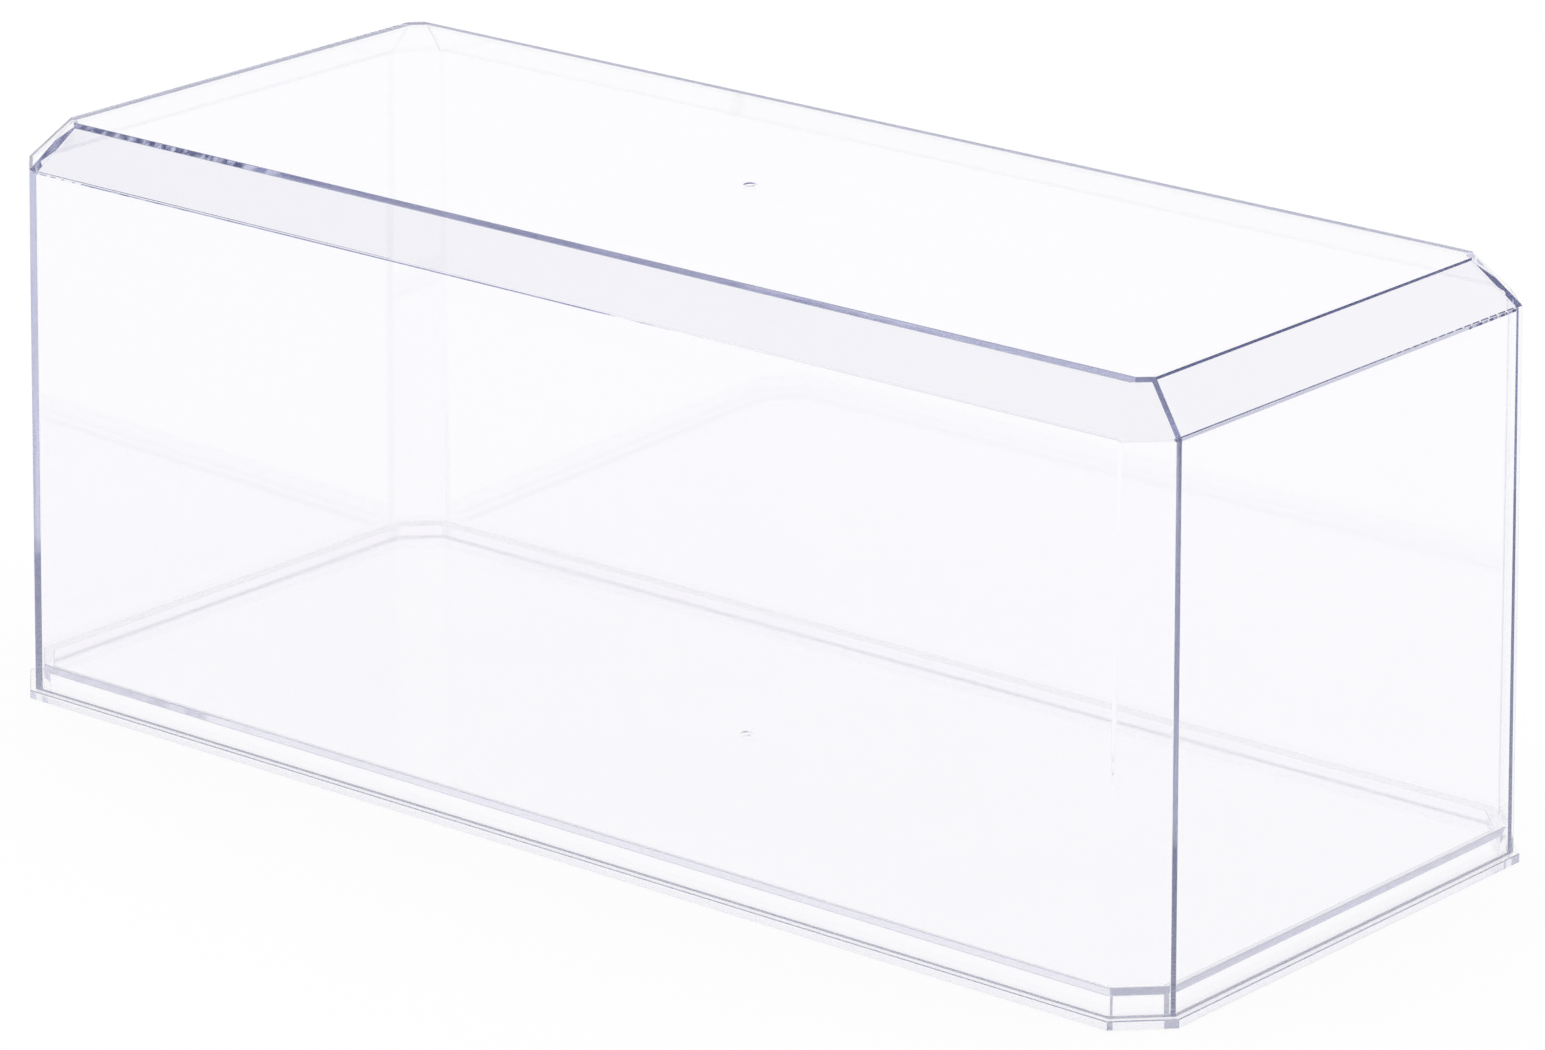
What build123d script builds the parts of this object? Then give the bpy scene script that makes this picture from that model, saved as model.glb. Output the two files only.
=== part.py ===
from build123d import *
import math
import os

# Clear two-piece display case for a 1:18 scale model.
# A moulded tray stands on the table, and a one-piece five-sided cover drops over it.
# Millimetres. +Z is up, +X is along the case, and the front long side faces -Y.
# The origin is on the table, under the middle of the case.

# The cover, outside sizes taken across its foot
cover_length = 353.0
cover_width = 152.0
cover_height = 143.0
cover_top_wall = 2.1
cover_side_wall = 1.9  # the long sides
cover_end_wall = 2.4
cover_corner_wall = 2.4
cover_side_bevel_wall = 1.95
cover_end_bevel_wall = 2.6
cover_corner_bevel_wall = 2.5
cover_draft = 1.0  # degrees, so that the deep shell leaves its mould
corner_leg = 10.5  # each leg of the 45 degree corner facets, at the foot

# The bevelled band round the top of the cover
bevel_drop = 10.7
bevel_inset = 10.4

# The tray: a flange that carries the cover, and a raised platform inside it
flange_overhang = 1.4
flange_thickness = 2.1
platform_height = 6.5  # above the flange
tray_wall = 2.4

# Clearances between the two mouldings
platform_clearance = 0.4  # all round, platform to cover
foot_clearance = 0.1  # a moulded foot is never dead flat on its flange

# The broken edges of both mouldings
cover_edge_radius = 0.3
cover_inside_radius = 0.5
tray_edge_radius = 0.3

# The trimmed gate that each moulding shows at the middle of its top face
gate_recess_diameter = 3.4
gate_recess_depth = 0.35
gate_nib_diameter = 1.9
gate_nib_height = 0.25

# Heights that follow
cover_foot_z = flange_thickness + foot_clearance
cover_top_z = cover_foot_z + cover_height
platform_top_z = flange_thickness + platform_height

# Slopes that follow
draft_slope = math.tan(math.radians(cover_draft))
bevel_slope = bevel_inset / bevel_drop
bevel_angle = math.degrees(math.atan(bevel_slope))


def octagon(length, width, leg):
    """A rectangle whose corners are cut at 45 degrees, leg being what each side loses."""
    outline = Rectangle(length, width)
    return chamfer(outline.vertices(), leg)


def inset_octagon(ends, sides, corners):
    """The cover's foot outline with its ends, long sides and corner facets moved inwards."""
    leg = corner_leg - ends - sides + math.sqrt(2.0) * corners
    return octagon(cover_length - 2.0 * ends, cover_width - 2.0 * sides, leg)


def deeper(insets, step):
    """The three insets, each larger by one step."""
    return [inset + step for inset in insets]


def gate_recess(top_z):
    """The round dimple that keeps the trimmed gate below the face around it."""
    floor_z = top_z - gate_recess_depth
    dimple = extrude(Circle(gate_recess_diameter / 2.0), gate_recess_depth)
    nib = extrude(Circle(gate_nib_diameter / 2.0), gate_nib_height)
    return Pos(0, 0, floor_z) * (dimple - nib)


def bevelled_block(foot_insets, wall_height, top_height, draft):
    """An octagonal block that turns in over a bevel to a flat top."""
    walls = extrude(inset_octagon(*foot_insets), wall_height, taper=draft)
    band_insets = deeper(foot_insets, wall_height * math.tan(math.radians(draft)))
    band_foot = Pos(0, 0, wall_height) * inset_octagon(*band_insets)
    band = extrude(band_foot, top_height - wall_height, taper=bevel_angle)
    return walls + band


def cover_wall_insets():
    """How far the cover's inside faces lie inside its foot outline, on the table's level."""
    lean = math.hypot(1.0, draft_slope)
    return [cover_end_wall * lean, cover_side_wall * lean, cover_corner_wall * lean]


def above_foot(solid):
    """All the edges of a solid but those of its foot."""
    return solid.edges().filter_by(lambda edge: edge.center().Z > 0.001)


def clear_cover():
    """The five-sided shell, its inside faces parallel to the outside ones."""
    wall_height = cover_height - bevel_drop
    outside = bevelled_block([0.0, 0.0, 0.0], wall_height, cover_height, cover_draft)
    outside = fillet(above_foot(outside), cover_edge_radius)

    # Inside, the leaning walls are cut off by a roof whose bevels have walls of their own
    inside_height = cover_height - cover_top_wall
    inside_walls = extrude(inset_octagon(*cover_wall_insets()), cover_height, taper=cover_draft)
    inside_walls = fillet(above_foot(inside_walls).filter_by(Plane.XY, reverse=True), cover_inside_radius)
    roof_foot_height = wall_height - bevel_drop
    bevel_plane_inset = wall_height * draft_slope - bevel_drop * bevel_slope
    bevel_walls = [cover_end_bevel_wall, cover_side_bevel_wall, cover_corner_bevel_wall]
    roof_insets = [bevel_plane_inset + wall * math.hypot(1.0, bevel_slope) for wall in bevel_walls]
    roof = bevelled_block(roof_insets, roof_foot_height, inside_height, 0.0)
    roof = fillet(above_foot(roof), cover_inside_radius)
    inside = inside_walls & roof

    shell = Pos(0, 0, cover_foot_z) * (outside - inside)
    return shell - gate_recess(cover_top_z)


def display_tray():
    """The flange and the raised platform, hollow underneath like any moulded tray."""
    flange_insets = deeper([0.0, 0.0, 0.0], -flange_overhang)
    flange = extrude(inset_octagon(*flange_insets), flange_thickness)
    flange = fillet(above_foot(flange), tray_edge_radius)

    # The platform leans with the cover's inside face, so its clearance stays the same
    platform_insets = deeper(cover_wall_insets(), platform_clearance)
    platform = extrude(inset_octagon(*platform_insets), platform_height, taper=cover_draft)
    platform = fillet(above_foot(platform), tray_edge_radius)
    platform = Pos(0, 0, flange_thickness) * platform

    hollow_height = platform_top_z - tray_wall
    hollow_insets = deeper(platform_insets, tray_wall - flange_thickness * draft_slope)
    hollow = extrude(inset_octagon(*hollow_insets), hollow_height, taper=cover_draft)
    hollow = fillet(above_foot(hollow), tray_edge_radius)

    return flange + platform - hollow - gate_recess(platform_top_z)


parts = {
    "display_tray": display_tray(),
    "clear_cover": clear_cover(),
}

os.makedirs("parts", exist_ok=True)
for name, shape in parts.items():
    export_step(shape, f"parts/{name}.step")
    print(name, len(shape.solids()), "solid", round(shape.volume / 1000.0, 2), "cm3")
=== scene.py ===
import math

import bpy
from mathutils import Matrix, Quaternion, Vector


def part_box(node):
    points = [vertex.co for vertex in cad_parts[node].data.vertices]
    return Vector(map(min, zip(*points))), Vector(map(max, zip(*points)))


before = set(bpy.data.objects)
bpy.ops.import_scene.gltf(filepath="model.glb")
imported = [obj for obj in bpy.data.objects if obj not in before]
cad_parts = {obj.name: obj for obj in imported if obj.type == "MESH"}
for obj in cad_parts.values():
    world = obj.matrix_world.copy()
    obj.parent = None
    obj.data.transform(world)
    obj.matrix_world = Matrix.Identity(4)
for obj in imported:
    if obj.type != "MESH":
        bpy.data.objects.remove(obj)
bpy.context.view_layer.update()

# A clear two-piece display case, standing on a white studio table.
# Metres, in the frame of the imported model: +Z is up and the front long side faces -Y.

# The camera, which looks at the case from its front right corner
camera_azimuth = math.radians(39.70)
camera_elevation = math.radians(18.45)
camera_roll = math.radians(0.14)
camera_distance = 1.7174
camera_target = Vector((0.0070, 0.0, 0.0626))
sensor_width = 36.0  # millimetres, across the photograph's long side
lens_length = 168.67  # millimetres
farthest_seen = 100.0

# The clear plastic, crystal polystyrene
plastic_ior = 1.59
plastic_tint = (0.994, 0.989, 1.0, 1.0)
absorbed_tint = (0.20, 0.24, 0.62, 1.0)
cover_absorption = 3.8  # per metre
tray_absorption = 0.9
lamp_tint = (0.94, 0.945, 0.955, 1.0)  # what one face lets through of the light on the table
flow_mark_scale = 70.0  # marks about 14 mm across
flow_mark_detail = 1.0
flow_mark_depth = 0.000012
haze_scale = 25.0  # patches about 40 mm across
haze_detail = 3.0
haze_spread = (0.35, 0.75)  # the pattern's values at the clearest and the haziest patches
cover_haze = (0.01, 0.04)  # roughness, from the clearest to the haziest patches
tray_haze = (0.04, 0.07)
rubbed_height = 0.0003  # how far the rubbed foot reaches up each moulding
cover_foot_roughness = 0.45
tray_foot_roughness = 0.16

# How far light is followed: it runs a long way inside a clear wall before it leaves at an edge
bounces_in_plastic = 300
faces_in_shadow = 64

# The studio: a white table, a white sweep behind the case, and a dim blue room all round
white = (1.0, 1.0, 1.0, 1.0)
table_paper = (0.95, 0.95, 0.95, 1.0)
table_half_side = 8.0
table_gap = 0.0003  # the table lies a hair under the tray
table_glow = 0.9  # the share of the table's white that doesn't wait for light
table_glow_through_plastic = 0.965
room_light = 1.02  # the even light that reaches the table
lamp_power = 4.0  # watts
lamp_length = 1.6
lamp_width = 1.2
lamp_place = (0.0, 0.3, 1.8)

# The sweep, and how near to its middle a direction lies where it fades in: 1 is straight at it
sweep_direction = (-0.6388, 0.7694, 0.0)
sweep_in_edges = (0.25, 0.5)
sweep_in_mirror = (0.45, 0.75)

# The room's colours, and where each fades in, in degrees over the horizon
mirrored_dim = (0.42, 0.44, 0.58, 1.0)
mirrored_dim_heights = (16.0, 37.0)
edge_dim = (0.12, 0.15, 0.38, 1.0)
edge_dim_over_sweep = (36.0, 50.0)
edge_dim_beside_sweep = (8.0, 24.0)
edge_dark = (0.0, 0.008, 0.12, 1.0)
edge_dark_heights = (48.0, 60.0)


class Socket:
    """A node's output that can stand in sums, each of which adds a Math node."""

    def __init__(self, nodes, link):
        self.nodes = nodes
        self.link = link

    def maths(self, operation, first, second):
        return self.nodes.make("ShaderNodeMath", {"operation": operation}, {0: first, 1: second})

    def __add__(self, other):
        return self.maths("ADD", self, other)

    __radd__ = __add__

    def __sub__(self, other):
        return self.maths("SUBTRACT", self, other)

    def __rsub__(self, other):
        return self.maths("SUBTRACT", other, self)

    def __mul__(self, other):
        return self.maths("MULTIPLY", self, other)

    __rmul__ = __mul__

    def maximum(self, other):
        return self.maths("MAXIMUM", self, other)


class Nodes:
    """One node tree, filled one node at a time."""

    def __init__(self, owner):
        owner.use_nodes = True
        self.tree = owner.node_tree
        self.tree.nodes.clear()

    def make(self, kind, settings=None, inputs=None, output=0):
        """Adds a node, applies its settings first, then fills its inputs, and returns one output."""
        node = self.tree.nodes.new(kind)
        for name, value in (settings or {}).items():
            setattr(node, name, value)
        for name, value in (inputs or {}).items():
            if isinstance(value, Socket):
                self.tree.links.new(value.link, node.inputs[name])
            else:
                node.inputs[name].default_value = value
        if node.outputs:
            return Socket(self, node.outputs[output])

    def ray_is(self, *kinds):
        """One for a ray of any of the named kinds, and zero for the others."""
        flags = [self.make("ShaderNodeLightPath", output=f"Is {kind} Ray") for kind in kinds]
        total = flags[0]
        for flag in flags[1:]:
            total = total.maximum(flag)
        return total

    def ramp(self, value, start, end, low, high):
        """A smooth step from low to high while value goes from start to end."""
        settings = {"interpolation_type": "SMOOTHSTEP"}
        inputs = {"Value": value, "From Min": start, "From Max": end, "To Min": low, "To Max": high}
        return self.make("ShaderNodeMapRange", settings, inputs)

    def rising(self, height, start, end):
        """Zero below one angle over the horizon, and one above another, both in degrees."""
        return self.ramp(height, math.sin(math.radians(start)), math.sin(math.radians(end)), 0.0, 1.0)

    def blend_colour(self, share, first, second):
        """A colour that goes from the first to the second as share goes from 0 to 1."""
        return self.make("ShaderNodeMix", {"data_type": "RGBA"}, {0: share, 6: first, 7: second}, output=2)

    def noise(self, place, scale, detail):
        """A soft random pattern on the piece."""
        return self.make("ShaderNodeTexNoise", None, {"Vector": place, "Scale": scale, "Detail": detail})

    def mix_shaders(self, share, first, second):
        return self.make("ShaderNodeMixShader", None, {0: share, 1: first, 2: second})

    def background(self, colour, strength=1.0):
        return self.make("ShaderNodeBackground", None, {"Color": colour, "Strength": strength})


def clear_plastic(name, node, absorption, clearest_to_haziest, foot_roughness):
    """Water-clear moulded plastic: polished, rubbed matt at its foot, and violet through its depth."""
    material = bpy.data.materials.new(name)
    nodes = Nodes(material)
    place = nodes.make("ShaderNodeTexCoord", output="Object")
    haze = nodes.noise(place, haze_scale, haze_detail)
    marks = nodes.noise(place, flow_mark_scale, flow_mark_detail)
    swell = nodes.make(
        "ShaderNodeBump",
        None,
        {"Strength": 1.0, "Distance": flow_mark_depth, "Height": marks},
    )
    height = nodes.make("ShaderNodeSeparateXYZ", None, {0: place}, output="Z")
    foot_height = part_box(node)[0][2]
    rubbed = nodes.ramp(height, foot_height, foot_height + rubbed_height, foot_roughness, 0.0)
    polished = nodes.ramp(haze, *haze_spread, *clearest_to_haziest)
    glass = nodes.make(
        "ShaderNodeBsdfPrincipled",
        None,
        {
            "Base Color": plastic_tint,
            "Roughness": polished.maximum(rubbed),
            "IOR": plastic_ior,
            "Transmission Weight": 1.0,
            "Normal": swell,
        },
    )
    lamps_pass = nodes.make("ShaderNodeBsdfTransparent", None, {"Color": lamp_tint})
    surface = nodes.mix_shaders(nodes.ray_is("Shadow"), glass, lamps_pass)
    inside = nodes.make(
        "ShaderNodeVolumeAbsorption",
        None,
        {"Color": absorbed_tint, "Density": absorption},
    )
    nodes.make("ShaderNodeOutputMaterial", None, {"Surface": surface, "Volume": inside})
    return material


def studio_world():
    """White for the camera, and for the plastic a dim blue room with a white sweep in it."""
    world = bpy.data.worlds.new("studio")
    bpy.context.scene.world = world
    nodes = Nodes(world)
    direction = nodes.make("ShaderNodeTexCoord", output="Generated")
    height = nodes.make("ShaderNodeSeparateXYZ", None, {0: direction}, output="Z")
    towards_sweep = nodes.make(
        "ShaderNodeVectorMath",
        {"operation": "DOT_PRODUCT"},
        {0: direction, 1: sweep_direction},
        output="Value",
    )

    # What shows by reflection
    beside_mirrored_sweep = nodes.ramp(towards_sweep, *sweep_in_mirror, 1.0, 0.0)
    dimness = beside_mirrored_sweep * nodes.rising(height, *mirrored_dim_heights)
    mirrored = nodes.blend_colour(dimness, white, mirrored_dim)

    # What shows through the plastic, and so in its edges
    sweep = nodes.ramp(towards_sweep, *sweep_in_edges, 0.0, 1.0)
    over_sweep = sweep * nodes.rising(height, *edge_dim_over_sweep)
    beside_sweep = (1 - sweep) * nodes.rising(height, *edge_dim_beside_sweep)
    lower_edge = nodes.blend_colour(over_sweep + beside_sweep, white, edge_dim)
    edge = nodes.blend_colour(nodes.rising(height, *edge_dark_heights), lower_edge, edge_dark)

    surface = nodes.background(white, room_light)
    surface = nodes.mix_shaders(nodes.ray_is("Glossy"), surface, nodes.background(mirrored))
    surface = nodes.mix_shaders(nodes.ray_is("Transmission"), surface, nodes.background(edge))
    surface = nodes.mix_shaders(nodes.ray_is("Camera"), surface, nodes.background(white))
    nodes.make("ShaderNodeOutputWorld", None, {"Surface": surface})


def studio_table():
    """A white table that reads as pure white and still takes a faint shadow."""
    mesh = bpy.data.meshes.new("table")
    side, low = table_half_side, -table_gap
    corners = [(-side, -side, low), (side, -side, low), (side, side, low), (-side, side, low)]
    mesh.from_pydata(corners, [], [(0, 1, 2, 3)])
    table = bpy.data.objects.new("table", mesh)
    bpy.context.scene.collection.objects.link(table)

    material = bpy.data.materials.new("white_table")
    nodes = Nodes(material)
    paper = nodes.make("ShaderNodeBsdfDiffuse", None, {"Color": table_paper})
    lit = nodes.make("ShaderNodeEmission", None, {"Color": white, "Strength": 1.0})
    seen = nodes.ray_is("Camera", "Glossy") * table_glow
    share = seen.maximum(nodes.ray_is("Transmission") * table_glow_through_plastic)
    nodes.make("ShaderNodeOutputMaterial", None, {"Surface": nodes.mix_shaders(share, paper, lit)})
    mesh.materials.append(material)


def softbox():
    """The large soft lamp over the table, which isn't mirrored in the plastic."""
    lamp = bpy.data.lights.new("softbox", "AREA")
    lamp.shape = "RECTANGLE"
    lamp.size = lamp_length
    lamp.size_y = lamp_width
    lamp.energy = lamp_power
    holder = bpy.data.objects.new("softbox", lamp)
    holder.location = lamp_place
    holder.visible_glossy = False
    holder.visible_transmission = False
    bpy.context.scene.collection.objects.link(holder)


def studio_camera():
    """The camera at the photograph's viewing angle."""
    level = math.cos(camera_elevation)
    back = Vector(
        (
            math.sin(camera_azimuth) * level,
            -math.cos(camera_azimuth) * level,
            math.sin(camera_elevation),
        )
    )
    lens = bpy.data.cameras.new("camera")
    lens.sensor_width = sensor_width
    lens.lens = lens_length
    lens.clip_end = farthest_seen
    camera = bpy.data.objects.new("camera", lens)
    camera.rotation_mode = "QUATERNION"
    aim = (-back).to_track_quat("-Z", "Y")
    camera.rotation_quaternion = aim @ Quaternion((0.0, 0.0, 1.0), camera_roll)
    camera.location = camera_target + back * camera_distance
    bpy.context.scene.collection.objects.link(camera)
    bpy.context.scene.camera = camera


studio_world()
studio_table()
softbox()
studio_camera()

finish_of = {
    "clear_cover": (cover_absorption, cover_haze, cover_foot_roughness),
    "display_tray": (tray_absorption, tray_haze, tray_foot_roughness),
}
for node, finish in finish_of.items():
    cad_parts[node].data.materials[0] = clear_plastic(f"{node}_plastic", node, *finish)

scene = bpy.context.scene
scene.view_settings.view_transform = "Standard"
scene.cycles.max_bounces = bounces_in_plastic
scene.cycles.glossy_bounces = bounces_in_plastic
scene.cycles.transmission_bounces = bounces_in_plastic
scene.cycles.transparent_max_bounces = faces_in_shadow
